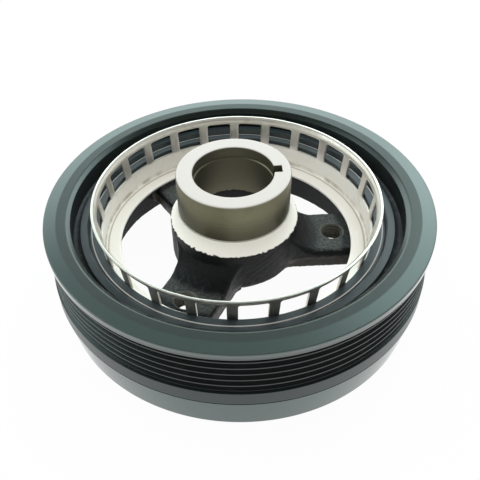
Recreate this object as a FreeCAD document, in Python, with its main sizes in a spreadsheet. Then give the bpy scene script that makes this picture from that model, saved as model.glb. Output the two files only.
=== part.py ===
import FreeCAD, Part
import os
import Sketcher

# Crankshaft harmonic balancer with a 24-window interrupter ring.
# Millimetres. +Z is the crankshaft axis and points to the engine side, the
# origin is on that axis at the front face of the inertia ring, and +X runs
# through the keyway and the first arm of the hub.

doc = FreeCAD.newDocument("harmonic_balancer")
sheet = doc.addObject("Spreadsheet::Sheet", "sizes")

DRIVING_SIZES = {
    # inertia ring
    "ring_radius": 85.7,
    "rim_radius": 85.95,
    "rim_rounding": 0.5,
    "ring_bore_radius": 73.8,
    "rim_edge_height": 48.5,
    "rim_underside_height": 45.2,
    "crown_radius": 80.1,
    "crown_height": 49.0,
    "face_inner_height": 47.3,
    "skirt_height": 17.0,
    "skirt_foot_radius": 83.0,
    "skirt_line_depth": 0.35,
    "skirt_line_width": 0.5,
    "rib_pitch": 3.56,
    "rib_count": 6,
    "rib_depth": 2.6,
    "rib_crest_radius": 85.2,
    "vee_mouth_width": 2.9,
    "vee_root_width": 1.0,
    "first_vee_height": 44.7,
    "flange_top_height": 24.1,
    "relief_width": 0.8,
    "relief_depth": 0.9,
    # rubber ring
    "rubber_height": 38.8,
    # hub drum
    "drum_radius": 70.8,
    "drum_front_height": 9.0,
    "drum_back_height": 38.2,
    "drum_lip_height": 40.5,
    "drum_lip_inner_radius": 67.4,
    "drum_lip_foot_radius": 66.4,
    "drum_seat_radius": 62.4,
    "drum_bore_radius": 57.5,
    "drum_mouth_radius": 59.7,
    # hub web and arms
    "web_front_height": 17.0,
    "web_back_height": 26.4,
    "web_outer_radius": 58.6,
    "arm_half_width": 13.7,
    "arm_count": 3,
    "opening_inner_radius": 25.4,
    "opening_outer_radius": 66.0,
    "opening_corner_radius": 11.0,
    "pad_start_radius": 38.5,
    "arm_root_rise": 8.0,
    "arm_root_radius": 14.0,
    "arm_edge_radius": 2.5,
    "puller_circle_radius": 45.6,
    "puller_hole_radius": 4.3,
    # hub barrel and nose
    "barrel_front_height": 20.0,
    "barrel_radius": 28.9,
    "barrel_rounding": 2.5,
    "collar_radius": 28.4,
    "collar_foot_height": 39.8,
    "collar_height": 40.4,
    "collar_fillet": 9.0,
    "nose_radius": 25.05,
    "nose_foot_height": 46.2,
    "nose_height": 64.3,
    "undercut_depth": 0.35,
    "undercut_width": 0.6,
    "bore_radius": 17.4,
    "bore_mouth_radius": 17.8,
    "bore_mouth_depth": 5.4,
    "washer_seat_radius": 23.0,
    "washer_seat_depth": 4.0,
    "key_width": 4.8,
    "key_reach": 21.2,
    # interrupter ring
    "sheet_thickness": 1.6,
    "base_inner_radius": 53.4,
    "wall_foot_radius": 62.2,
    "wall_top_radius": 63.4,
    "lip_foot_height": 48.6,
    "lip_top_height": 51.4,
    "lip_outer_radius": 64.6,
    "base_bend_radius": 2.4,
    "window_count": 24,
    "window_width": 12.0,
    "window_foot_height": 37.8,
    "window_top_height": 48.1,
    "window_corner_radius": 1.0,
    "window_turn": 3.9,
    # rivets of the interrupter ring
    "rivet_circle_radius": 57.6,
    "rivet_length": 11.4,
    "rivet_width": 2.6,
    "rivet_depth": 3.0,
    "rivet_clearance": 0.05,
    "rivet_turn": -7.6,
}

for row, (alias, value) in enumerate(DRIVING_SIZES.items(), start=1):
    sheet.set("A%d" % row, alias)
    sheet.set("B%d" % row, str(value))
    sheet.setAlias("B%d" % row, alias)
doc.recompute()


def size(expression):
    """Value of an expression of sheet aliases, written with a leading @ for each alias."""
    return float(sheet.evalExpression(expression.replace("@", "")))


def bound(expression):
    """The same expression as another object of the document has to write it."""
    return expression.replace("@", "sizes.")


def origin_plane(body, role):
    for feature in body.Origin.OriginFeatures:
        if feature.Role == role:
            return feature
    raise ValueError("no origin plane " + role)


def new_body(name):
    body = doc.addObject("PartDesign::Body", name)
    body.Label = name
    return body


def new_sketch(body, name, role, turn=None, turn_axis=FreeCAD.Vector(0, 0, 1)):
    """Sketch on an origin plane of its body, turned about the crankshaft axis."""
    sketch = body.newObject("Sketcher::SketchObject", name)
    sketch.AttachmentSupport = [(origin_plane(body, role), "")]
    sketch.MapMode = "FlatFace"
    if turn is not None:
        rotation = FreeCAD.Rotation(turn_axis, 1.0)
        sketch.AttachmentOffset = FreeCAD.Placement(FreeCAD.Vector(), rotation)
        sketch.setExpression("AttachmentOffset.Rotation.Angle", bound(turn))
    return sketch


def pin_point(sketch, geometry, point, x, y):
    """Hold a point of the sketch at the two given expressions."""
    for kind, expression in (("DistanceX", x), ("DistanceY", y)):
        value = size(expression)
        index = sketch.addConstraint(
            Sketcher.Constraint(kind, -1, 1, geometry, point, value))
        sketch.setExpression("Constraints[%d]" % index, bound(expression))


def bulge_point(start, end, radius, side):
    """Middle of an arc from start to end that bulges to the left (1) or right (-1)."""
    chord = end - start
    to_left = FreeCAD.Vector(-chord.y, chord.x, 0).normalize()
    rise = radius - (radius ** 2 - chord.Length ** 2 / 4) ** 0.5
    return (start + end) * 0.5 + to_left * rise * side


def outline(sketch, corners, arcs=None):
    """Closed outline through corners given as expressions.

    arcs names the sides that are round: the number of the side's first corner
    leads to its radius and to the side it bulges to, 1 left and -1 right.
    """
    arcs = arcs or {}
    places = [FreeCAD.Vector(size(x), size(y), 0) for x, y in corners]
    following = places[1:] + places[:1]
    sides = []
    for number, (start, end) in enumerate(zip(places, following)):
        if number not in arcs:
            line = sketch.addGeometry(Part.LineSegment(start, end), False)
            sides.append((line, 1, 2))
            continue
        radius, side = arcs[number]
        middle = bulge_point(start, end, size(radius), side)
        ends = (end, start) if side > 0 else (start, end)
        arc = sketch.addGeometry(Part.Arc(ends[0], middle, ends[1]), False)
        index = sketch.addConstraint(Sketcher.Constraint("Radius", arc, size(radius)))
        sketch.setExpression("Constraints[%d]" % index, bound(radius))
        sides.append((arc, 2, 1) if side > 0 else (arc, 1, 2))
    for (side, _, end), (after, start, _) in zip(sides, sides[1:] + sides[:1]):
        sketch.addConstraint(Sketcher.Constraint("Coincident", side, end, after, start))
    for (side, start, _), (x, y) in zip(sides, corners):
        pin_point(sketch, side, start, x, y)


def circle(sketch, x, y, radius):
    """Circle with its centre and radius given as expressions."""
    centre = FreeCAD.Vector(size(x), size(y), 0)
    normal = FreeCAD.Vector(0, 0, 1)
    ring = sketch.addGeometry(Part.Circle(centre, normal, size(radius)), False)
    pin_point(sketch, ring, 3, x, y)
    index = sketch.addConstraint(Sketcher.Constraint("Radius", ring, size(radius)))
    sketch.setExpression("Constraints[%d]" % index, bound(radius))


def revolve(body, name, sketch, kind="PartDesign::Revolution"):
    """Turn a half section about the crankshaft axis."""
    feature = body.newObject(kind, name)
    feature.Profile = sketch
    feature.ReferenceAxis = (sketch, ["V_Axis"])
    feature.Angle = 360.0
    body.Tip = feature
    return feature


def extrude(body, name, sketch, length, kind="PartDesign::Pad", reverse=False):
    """Pad or pocket of a length given as an expression."""
    feature = body.newObject(kind, name)
    feature.Profile = sketch
    feature.setExpression("Length", bound(length))
    feature.Reversed = reverse
    body.Tip = feature
    return feature


def repeat_round(body, name, feature, count):
    """Polar pattern of one feature about the crankshaft axis."""
    pattern = body.newObject("PartDesign::PolarPattern", name)
    pattern.Originals = [feature]
    pattern.Axis = (feature.Profile[0], ["N_Axis"])
    if feature.Profile[0].AttachmentSupport[0][0].Role == "XZ_Plane":
        pattern.Axis = (feature.Profile[0], ["V_Axis"])
    pattern.Angle = 360.0
    pattern.setExpression("Occurrences", bound(count))
    body.Tip = pattern
    return pattern


def dress(body, name, kind, chosen, amount):
    """Fillet or chamfer of the edges of the tip that the test chooses."""
    doc.recompute()
    base = body.Tip
    names = [
        "Edge%d" % number
        for number, edge in enumerate(base.Shape.Edges, start=1)
        if chosen(edge)
    ]
    if not names:
        raise ValueError("no edge chosen for " + name)
    feature = body.newObject(kind, name)
    feature.Base = (base, names)
    length = "Radius" if kind == "PartDesign::Fillet" else "Size"
    feature.setExpression(length, bound(amount))
    body.Tip = feature
    return feature


def upright_edge_between(inner, outer):
    """Test for a straight edge parallel to the axis, by its distance from it."""
    def chosen(edge):
        if not isinstance(edge.Curve, Part.Line):
            return False
        middle = edge.valueAt((edge.FirstParameter + edge.LastParameter) / 2)
        upright = abs(edge.Curve.Direction.z) > 0.999
        distance = (middle.x ** 2 + middle.y ** 2) ** 0.5
        return upright and size(inner) < distance < size(outer)
    return chosen


def vee_corners(number):
    """Four corners of one belt groove, listed downwards."""
    middle = "@first_vee_height - %d * @rib_pitch" % number
    root = "@rib_crest_radius - @rib_depth"
    return [
        ("@rib_crest_radius", middle + " + @vee_mouth_width / 2"),
        (root, middle + " + @vee_root_width / 2"),
        (root, middle + " - @vee_root_width / 2"),
        ("@rib_crest_radius", middle + " - @vee_mouth_width / 2"),
    ]


def make_inertia_ring():
    """Cast ring with dished back face, poly-V belt grooves and tapered skirt."""
    body = new_body("inertia_ring")
    back_face = [
        ("@ring_bore_radius", "@face_inner_height"),
        ("@crown_radius", "@crown_height"),
        ("@rim_radius - @rim_rounding", "@rim_edge_height"),
        ("@rim_radius", "@rim_edge_height - @rim_rounding"),
        ("@rim_radius", "@rim_underside_height"),
        ("@rib_crest_radius", "@rim_underside_height - @rim_rounding / 2"),
    ]
    grooves = []
    for number in range(int(DRIVING_SIZES["rib_count"])):
        grooves += vee_corners(number)
    relief_root = "@rib_crest_radius - @relief_depth"
    front = [
        ("@rib_crest_radius", "@flange_top_height + @relief_width"),
        (relief_root, "@flange_top_height + @relief_width / 2"),
        ("@ring_radius", "@flange_top_height"),
        ("@ring_radius", "@skirt_height + @skirt_line_width"),
        ("@ring_radius - @skirt_line_depth", "@skirt_height + @skirt_line_width / 2"),
        ("@ring_radius", "@skirt_height"),
        ("@skirt_foot_radius + @rim_rounding / 2", "@rim_rounding"),
        ("@skirt_foot_radius - @rim_rounding / 2", "0"),
        ("@ring_bore_radius", "0"),
    ]
    section = new_sketch(body, "ring_section", "XZ_Plane")
    outline(section, back_face + grooves + front)
    revolve(body, "ring_casting", section)
    return body


def make_rubber_ring():
    """Elastomer bonded between the hub's drum and the inertia ring."""
    body = new_body("rubber_ring")
    section = new_sketch(body, "rubber_section", "XZ_Plane")
    outline(section, [
        ("@drum_radius", "@drum_front_height"),
        ("@ring_bore_radius", "@drum_front_height"),
        ("@ring_bore_radius", "@rubber_height"),
        ("@drum_radius", "@rubber_height"),
    ])
    revolve(body, "rubber_moulding", section)
    return body


def opening_corner(radius, side):
    """Corner of the opening where the flank of an arm meets a radius."""
    along = "sqrt(%s ^ 2 - @arm_half_width ^ 2)" % radius
    turn = "180 deg / @arm_count"
    x = "%s * cos(%s) + @arm_half_width * sin(%s)" % (along, turn, turn)
    y = "%d * (%s * sin(%s) - @arm_half_width * cos(%s))" % (side, along, turn, turn)
    return x, y


def raise_sketch(sketch, height):
    """Lift a sketch of the XY plane to a height given as an expression."""
    sketch.setExpression("AttachmentOffset.Base.z", bound(height))


def rest_on_web(sketch):
    raise_sketch(sketch, "@web_front_height")


def add_hub_web(body):
    """Web disc with three rounded openings that leave the arms."""
    thickness = "@web_back_height - @web_front_height"
    rim = new_sketch(body, "web_rim", "XY_Plane")
    rest_on_web(rim)
    circle(rim, "0", "0", "@washer_seat_radius")
    circle(rim, "0", "0", "@web_outer_radius")
    extrude(body, "web_disc", rim, thickness)

    root = new_sketch(body, "arm_root_section", "XZ_Plane")
    outline(root, [
        ("@washer_seat_radius", "@web_back_height - 1"),
        ("@pad_start_radius", "@web_back_height - 1"),
        ("@pad_start_radius", "@web_back_height"),
        ("@barrel_radius", "@web_back_height + @arm_root_rise"),
        ("@washer_seat_radius", "@web_back_height + @arm_root_rise"),
    ], {2: ("@arm_root_radius", -1)})
    revolve(body, "arm_roots", root)

    opening = new_sketch(body, "opening_outline", "XY_Plane", turn="180 / @arm_count")
    rest_on_web(opening)
    inner = "@opening_inner_radius"
    outer = "@opening_outer_radius"
    outline(opening, [
        opening_corner(inner, -1),
        opening_corner(outer, -1),
        opening_corner(outer, 1),
        opening_corner(inner, 1),
    ], {1: (outer, -1), 3: (inner, 1)})
    cut = extrude(body, "opening", opening, thickness + " + @arm_root_rise + 1",
                  "PartDesign::Pocket", reverse=True)
    repeat_round(body, "openings", cut, "@arm_count")
    dress(body, "opening_corners", "PartDesign::Fillet",
          upright_edge_between("@opening_inner_radius - 1", "@opening_inner_radius + 1"),
          "@opening_corner_radius")
    dress(body, "arm_edges", "PartDesign::Fillet", arm_flank_edge, "@arm_edge_radius")


def arm_flank_edge(edge):
    """Test for the straight back edges of the arms."""
    if not isinstance(edge.Curve, Part.Line):
        return False
    middle = edge.valueAt((edge.FirstParameter + edge.LastParameter) / 2)
    on_back = abs(middle.z - size("@web_back_height")) < 0.01
    return on_back and abs(edge.Curve.Direction.z) < 0.01


def add_hub_barrel(body):
    """Nose, machined collar and cast barrel round the crankshaft bore."""
    section = new_sketch(body, "barrel_section", "XZ_Plane")
    outline(section, [
        ("@washer_seat_radius", "@barrel_front_height"),
        ("@barrel_radius - @barrel_rounding", "@barrel_front_height"),
        ("@barrel_radius", "@barrel_front_height + @barrel_rounding"),
        ("@barrel_radius", "@collar_foot_height"),
        ("@collar_radius", "@collar_height"),
        ("@nose_radius + 0.4", "@nose_foot_height - @undercut_width"),
        ("@nose_radius - @undercut_depth", "@nose_foot_height - @undercut_width"),
        ("@nose_radius - @undercut_depth", "@nose_foot_height"),
        ("@nose_radius", "@nose_foot_height"),
        ("@nose_radius", "@nose_height - 0.8"),
        ("@nose_radius - 0.8", "@nose_height"),
        ("@bore_mouth_radius", "@nose_height"),
        ("@bore_mouth_radius", "@nose_height - @bore_mouth_depth"),
        ("@bore_radius", "@nose_height - @bore_mouth_depth - 0.5"),
        ("@bore_radius", "@barrel_front_height + @washer_seat_depth"),
        ("@washer_seat_radius", "@barrel_front_height + @washer_seat_depth"),
    ], {1: ("@barrel_rounding", -1), 4: ("@collar_fillet", 1)})
    revolve(body, "barrel", section)


def add_hub_drum(body):
    """Outer drum that carries the rubber and seats the interrupter ring."""
    section = new_sketch(body, "drum_section", "XZ_Plane")
    outline(section, [
        ("@drum_mouth_radius", "@drum_front_height"),
        ("@drum_radius", "@drum_front_height"),
        ("@drum_radius", "@drum_lip_height"),
        ("@drum_lip_inner_radius", "@drum_lip_height"),
        ("@drum_lip_foot_radius", "@drum_back_height"),
        ("@drum_seat_radius", "@drum_back_height"),
        ("@drum_seat_radius", "@web_back_height"),
        ("@drum_bore_radius", "@web_back_height"),
    ])
    revolve(body, "drum", section)


def add_hub_cuts(body):
    """Keyway, puller holes and the slots of the rivets."""
    keyway = new_sketch(body, "keyway_outline", "XY_Plane")
    outline(keyway, [
        ("0", "-@key_width / 2"),
        ("@key_reach", "-@key_width / 2"),
        ("@key_reach", "@key_width / 2"),
        ("0", "@key_width / 2"),
    ])
    extrude(body, "keyway", keyway, "@nose_height + 1", "PartDesign::Pocket", reverse=True)

    puller = new_sketch(body, "puller_hole_outline", "XY_Plane")
    circle(puller, "@puller_circle_radius", "0", "@puller_hole_radius")
    hole = extrude(body, "puller_hole", puller, "@nose_height", "PartDesign::Pocket", reverse=True)
    repeat_round(body, "puller_holes", hole, "@arm_count")

    slot = new_sketch(body, "rivet_slot_outline", "XY_Plane", turn="@rivet_turn")
    raise_sketch(slot, "@web_back_height - @rivet_depth")
    add_slot_outline(slot, "@rivet_clearance")
    pocket = extrude(body, "rivet_slot", slot, "@rivet_depth + 0.1",
                     "PartDesign::Pocket", reverse=True)
    repeat_round(body, "rivet_slots", pocket, "@arm_count")


def add_slot_outline(sketch, clearance):
    """Slot with round ends, long way round the axis, grown by a clearance."""
    radius = "(@rivet_width / 2 + %s)" % clearance
    reach = "(@rivet_length / 2 - @rivet_width / 2)"
    centre = "@rivet_circle_radius"
    inner = "%s - %s" % (centre, radius)
    outer = "%s + %s" % (centre, radius)
    x = size(centre)
    y = size(reach)
    swell = size(radius)
    lower = Part.Arc(FreeCAD.Vector(x - swell, -y, 0), FreeCAD.Vector(x, -y - swell, 0),
                     FreeCAD.Vector(x + swell, -y, 0))
    upper = Part.Arc(FreeCAD.Vector(x + swell, y, 0), FreeCAD.Vector(x, y + swell, 0),
                     FreeCAD.Vector(x - swell, y, 0))
    right = Part.LineSegment(FreeCAD.Vector(x + swell, -y, 0), FreeCAD.Vector(x + swell, y, 0))
    left = Part.LineSegment(FreeCAD.Vector(x - swell, y, 0), FreeCAD.Vector(x - swell, -y, 0))
    numbers = [sketch.addGeometry(shape, False) for shape in (lower, right, upper, left)]
    for arc, height in ((numbers[0], "-" + reach), (numbers[2], reach)):
        index = sketch.addConstraint(
            Sketcher.Constraint("DistanceY", -1, 1, arc, 3, size(height)))
        sketch.setExpression("Constraints[%d]" % index, bound(height))
    for end, y_end in ((1, "-" + reach), (2, reach)):
        pin_point(sketch, numbers[1], end, outer, y_end)
    for end, y_end in ((1, reach), (2, "-" + reach)):
        pin_point(sketch, numbers[3], end, inner, y_end)
    meetings = ((0, 1, 3, 2), (0, 2, 1, 1), (2, 1, 1, 2), (2, 2, 3, 1))
    for arc, arc_end, line, line_end in meetings:
        sketch.addConstraint(Sketcher.Constraint(
            "Coincident", numbers[arc], arc_end, numbers[line], line_end))


def make_hub():
    """Cast hub with nose, three arms and drum, in one piece."""
    body = new_body("hub")
    add_hub_web(body)
    add_hub_barrel(body)
    add_hub_drum(body)
    add_hub_cuts(body)
    return body


def make_interrupter_ring():
    """Pressed steel ring with a flat base, 24 windows and a flared lip."""
    body = new_body("interrupter_ring")
    section = new_sketch(body, "sheet_section", "XZ_Plane")
    outline(section, [
        ("@base_inner_radius", "@web_back_height"),
        ("@wall_foot_radius - @base_bend_radius", "@web_back_height"),
        ("@wall_foot_radius", "@web_back_height + @base_bend_radius"),
        ("@wall_foot_radius", "@drum_back_height"),
        ("@wall_top_radius", "@lip_foot_height"),
        ("@lip_outer_radius", "@lip_top_height - @sheet_thickness / 2"),
        ("@lip_outer_radius", "@lip_top_height"),
        ("@lip_outer_radius - @sheet_thickness", "@lip_top_height"),
        ("@wall_top_radius - @sheet_thickness", "@lip_foot_height"),
        ("@wall_foot_radius - @sheet_thickness", "@drum_back_height"),
        ("@wall_foot_radius - @sheet_thickness", "@web_back_height + @base_bend_radius"),
        ("@wall_foot_radius - @base_bend_radius", "@web_back_height + @sheet_thickness"),
        ("@base_inner_radius", "@web_back_height + @sheet_thickness"),
    ], {
        1: ("@base_bend_radius", -1),
        10: ("@base_bend_radius - @sheet_thickness", 1),
    })
    revolve(body, "pressing", section)

    window = new_sketch(body, "window_outline", "XZ_Plane", turn="@window_turn",
                        turn_axis=FreeCAD.Vector(0, 1, 0))
    outline(window, [
        ("-@window_width / 2", "@window_foot_height"),
        ("@window_width / 2", "@window_foot_height"),
        ("@window_width / 2", "@window_top_height - @window_corner_radius"),
        ("@window_width / 2 - @window_corner_radius", "@window_top_height"),
        ("-@window_width / 2 + @window_corner_radius", "@window_top_height"),
        ("-@window_width / 2", "@window_top_height - @window_corner_radius"),
    ])
    punched = extrude(body, "window", window, "@lip_outer_radius + 1", "PartDesign::Pocket")
    repeat_round(body, "windows", punched, "@window_count")

    slot = new_sketch(body, "base_slot_outline", "XY_Plane", turn="@rivet_turn")
    raise_sketch(slot, "@web_back_height")
    add_slot_outline(slot, "@rivet_clearance")
    pocket = extrude(body, "base_slot", slot, "@sheet_thickness",
                     "PartDesign::Pocket", reverse=True)
    repeat_round(body, "base_slots", pocket, "@arm_count")
    return body


def make_rivets():
    """Three flush rivets with long heads that hold the pressing to the arms."""
    body = new_body("rivets")
    head = new_sketch(body, "rivet_outline", "XY_Plane", turn="@rivet_turn")
    raise_sketch(head, "@web_back_height - @rivet_depth")
    add_slot_outline(head, "0")
    shank = extrude(body, "rivet", head, "@rivet_depth + @sheet_thickness")
    repeat_round(body, "rivet_set", shank, "@arm_count")
    return body


parts = [
    make_inertia_ring(),
    make_rubber_ring(),
    make_hub(),
    make_interrupter_ring(),
    make_rivets(),
]
doc.recompute()

for item in doc.Objects:
    if "Invalid" in item.State or "Error" in item.State:
        raise ValueError("%s is not up to date: %s" % (item.Name, item.State))
for part in parts:
    if part.Shape.isNull() or not part.Shape.isValid():
        raise ValueError(part.Label + " has no valid shape")

os.makedirs("parts", exist_ok=True)
for part in parts:
    part.Shape.exportStep("parts/%s.step" % part.Label)
    print(part.Label, round(part.Shape.Volume), len(part.Shape.Solids), part.Shape.BoundBox)
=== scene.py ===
import math

import bmesh
import bpy
import numpy as np
from bpy.props import FloatProperty, FloatVectorProperty, IntProperty, PointerProperty
from bpy.types import Operator, Panel, PropertyGroup
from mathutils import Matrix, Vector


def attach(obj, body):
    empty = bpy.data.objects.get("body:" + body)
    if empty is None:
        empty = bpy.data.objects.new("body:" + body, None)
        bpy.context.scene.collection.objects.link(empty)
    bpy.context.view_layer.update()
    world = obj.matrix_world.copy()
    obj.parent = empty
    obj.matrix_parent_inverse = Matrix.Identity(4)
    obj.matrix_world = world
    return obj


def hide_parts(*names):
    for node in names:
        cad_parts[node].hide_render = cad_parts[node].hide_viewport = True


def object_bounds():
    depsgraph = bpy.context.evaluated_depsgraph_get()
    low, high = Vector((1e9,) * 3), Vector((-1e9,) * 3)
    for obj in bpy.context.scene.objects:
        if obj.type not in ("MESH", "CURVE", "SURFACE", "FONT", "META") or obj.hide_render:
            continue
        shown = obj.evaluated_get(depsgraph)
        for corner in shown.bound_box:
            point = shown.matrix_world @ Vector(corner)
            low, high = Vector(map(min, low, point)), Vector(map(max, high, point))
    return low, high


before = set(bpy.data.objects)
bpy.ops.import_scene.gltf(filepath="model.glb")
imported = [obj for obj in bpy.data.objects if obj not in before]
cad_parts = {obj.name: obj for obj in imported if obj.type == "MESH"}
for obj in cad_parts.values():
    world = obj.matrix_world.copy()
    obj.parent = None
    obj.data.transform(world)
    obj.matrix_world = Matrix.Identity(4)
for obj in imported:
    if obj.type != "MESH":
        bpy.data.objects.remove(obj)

bl_info = {
    "name": "Harmonic balancer",
    "version": (1, 0, 0),
    "blender": (4, 5, 0),
    "location": "View3D > Sidebar > Balancer",
    "description": "Crankshaft harmonic balancer with belt grooves and interrupter ring",
    "category": "Add Mesh",
}

MM = 0.001
CAD_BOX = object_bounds()
# points round the shaft of the ring, and of the drum and the rubber
RING_COLUMNS, DRUM_COLUMNS = 420, 360
# sine waves that make up a cast skin
WAVES = 48
# rounding errors of a length stay below this
SLACK = 1e-9
# grid of an arm: spacing and number of its sections, and points over the back side
ARM_STEP, ARM_ROWS, ARM_COLUMNS = 0.5 * MM, 73, 41
# points round each of an arm's edges and down its flanks
BEND_STEPS, FLANK_STEPS = 6, 13
# section that crosses the tapped hole's middle
HOLE_ROW = 47
# rings of squares round that middle: the hole's edge, and the first that isn't pressed out
HOLE_RING, EDGE_RING = 4, 11
# share of the drum's fillet that an arm's flare follows, because the whole arc ends upright
FLARE_END = 0.94
# columns of the barrel's grid at the keyway's four corners, their angles, and steps over the rest
KEY_CORNERS, KEY_ANGLES = (0, 6, 14, 20), np.radians((-14, -8, 8, 14))
BORE_STEPS = 299


def length(name, description, millimetres):
    """Length property with its default given in millimetres."""
    return FloatProperty(name=name, description=description, default=millimetres * MM,
                         unit="LENGTH", precision=5, min=0.0)


def rotation(name, description, degrees):
    """Angle property with its default given in degrees."""
    return FloatProperty(name=name, description=description, default=math.radians(degrees),
                         unit="ROTATION")


def amount(name, description, number):
    """Property that counts something, with its default."""
    return IntProperty(name=name, description=description, default=number, min=1)


def linear(colour):
    """Linear colour with full alpha, from an sRGB colour written as six hex digits."""
    shares = [int(colour[at:at + 2], 16) / 255 for at in (1, 3, 5)]
    return [*(s / 12.92 if s <= 0.04045 else ((s + 0.055) / 1.055) ** 2.4 for s in shares), 1.0]


def tint(name, description, colour):
    """Colour property with its default given as an sRGB hex value."""
    return FloatVectorProperty(name=name, description=description, default=linear(colour),
                               subtype="COLOR", size=4, min=0.0, max=1.0)


class RingSizes(PropertyGroup):
    """Sizes of the inertia ring and the rubber that carries it."""
    outer_radius: length("Outer radius", "Flange and skirt of the ring", 85.7)
    rim_radius: length("Rim radius", "Rim at the back of the belt grooves", 85.95)
    bore_radius: length("Bore radius", "Bore that the rubber is bonded to", 73.8)
    rim_height: length("Rim height", "Back edge of the rim over the front face", 48.5)
    rim_underside: length("Rim underside", "Height where the first groove starts", 45.2)
    crown_radius: length("Crown radius", "Highest circle of the back face", 80.1)
    edge_radius: length("Edge radius", "Where the face starts to round down to the bore", 75.7)
    edge_height: length("Edge height", "Height of the face there", 48.7)
    crown_height: length("Crown height", "Height of that circle", 49.0)
    inner_height: length("Inner height", "Height of the back face at the bore", 47.3)
    crest_radius: length("Crest radius", "Crests between the grooves", 85.2)
    groove_pitch: length("Groove pitch", "From one groove to the next", 3.56)
    groove_depth: length("Groove depth", "Crest to root", 2.6)
    groove_mouth: length("Groove mouth", "Width at the crests", 2.9)
    groove_root: length("Groove root", "Width at the root", 1.0)
    first_groove: length("First groove", "Height of the middle of the first groove", 44.7)
    groove_count: amount("Grooves", "Number of belt grooves", 6)
    flange_height: length("Flange height", "Back edge of the plain flange", 24.1)
    skirt_height: length("Skirt height", "Where the plain flange starts to taper", 17.0)
    skirt_radius: length("Skirt radius", "Radius of the taper at the front face", 83.0)
    rubber_back: length("Rubber back", "Back end of the rubber", 38.8)
    rubber_front: length("Rubber front", "Front end of the rubber", 9.0)


class HubSizes(PropertyGroup):
    """Sizes of the cast hub."""
    drum_radius: length("Drum radius", "Outside of the drum", 70.8)
    drum_front: length("Drum front", "Front edge of the drum", 9.0)
    lip_height: length("Lip height", "Raised outer edge of the drum", 41.2)
    lip_radius: length("Lip radius", "Inner edge of that lip", 67.2)
    lip_foot_radius: length("Lip foot radius", "Foot of the lip's bevel", 66.0)
    ledge_height: length("Ledge height", "Flat between lip and interrupter ring", 39.4)
    # the drum's material paints a highlight along this edge
    ledge_radius: length("Ledge radius", "Bright turned edge of that flat", 65.6)
    groove_depth: length("Groove depth", "Groove between that edge and the lip", 0.6)
    seat_radius: length("Seat radius", "Seat of the interrupter ring's wall", 61.9)
    drum_bore: length("Drum bore", "Inside of the drum at the web", 57.5)
    drum_mouth: length("Drum mouth", "Inside of the drum at its front edge", 59.7)
    web_front: length("Web front", "Front side of the arms", 17.0)
    web_back: length("Web back", "Back side of the arms", 26.4)
    web_radius: length("Web radius", "Disc round the bolt seat", 25.4)
    arm_half_width: length("Arm half width", "Half the width of an arm", 13.7)
    arm_edge: length("Arm edge", "Rounding of the arms' back edges", 2.5)
    arm_root: length("Arm root", "Radius where the arm starts to rise", 38.5)
    arm_rise: length("Arm rise", "Rise of the arm at the barrel", 8.0)
    arm_sweep: length("Arm sweep", "Radius of the hollow of that rise", 14.0)
    arm_fillet: length("Arm fillet", "Rounding between arm and barrel", 9.0)
    web_fillet: length("Web fillet", "Rounding between arm and disc", 11.0)
    drum_fillet: length("Drum fillet", "Rounding between arm and drum", 3.0)
    arm_foot: length("Arm foot", "Rounding of the arms' front edges", 1.0)
    arm_count: amount("Arms", "Number of arms", 3)
    hole_circle: length("Hole circle", "Radius of the tapped holes' circle", 45.6)
    hole_radius: length("Hole radius", "Crest radius of the tapped thread", 4.0)
    hole_mouth: length("Hole mouth", "Radius of the countersink", 5.3)
    thread_pitch: length("Thread pitch", "Pitch of the tapped thread", 1.59)
    thread_depth: length("Thread depth", "Depth of the tapped thread", 0.75)
    barrel_radius: length("Barrel radius", "Cast barrel under the collar", 28.9)
    barrel_front: length("Barrel front", "Front end of the barrel", 20.0)
    collar_foot: length("Collar foot", "Lower edge of the machined collar", 39.8)
    collar_radius: length("Collar radius", "Outer edge of the collar", 28.4)
    collar_height: length("Collar height", "Height of that edge", 40.4)
    collar_sweep: length("Collar sweep", "Radius of the hollow up to the nose", 9.0)
    nose_radius: length("Nose radius", "Turned seal surface", 25.05)
    nose_foot: length("Nose foot", "Undercut at the foot of the nose", 46.2)
    nose_height: length("Nose height", "End face of the nose", 64.3)
    bore_radius: length("Bore radius", "Crankshaft bore", 17.4)
    mouth_radius: length("Mouth radius", "Relief at the mouth of the bore", 17.8)
    mouth_depth: length("Mouth depth", "Depth of that relief", 5.4)
    seat_height: length("Bolt seat height", "Seat of the crankshaft bolt's washer", 24.0)
    bolt_seat_radius: length("Bolt seat radius", "Outside of that seat", 23.0)
    key_width: length("Key width", "Width of the keyway", 4.8)
    key_reach: length("Key reach", "Floor of the keyway from the axis", 21.2)


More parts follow.
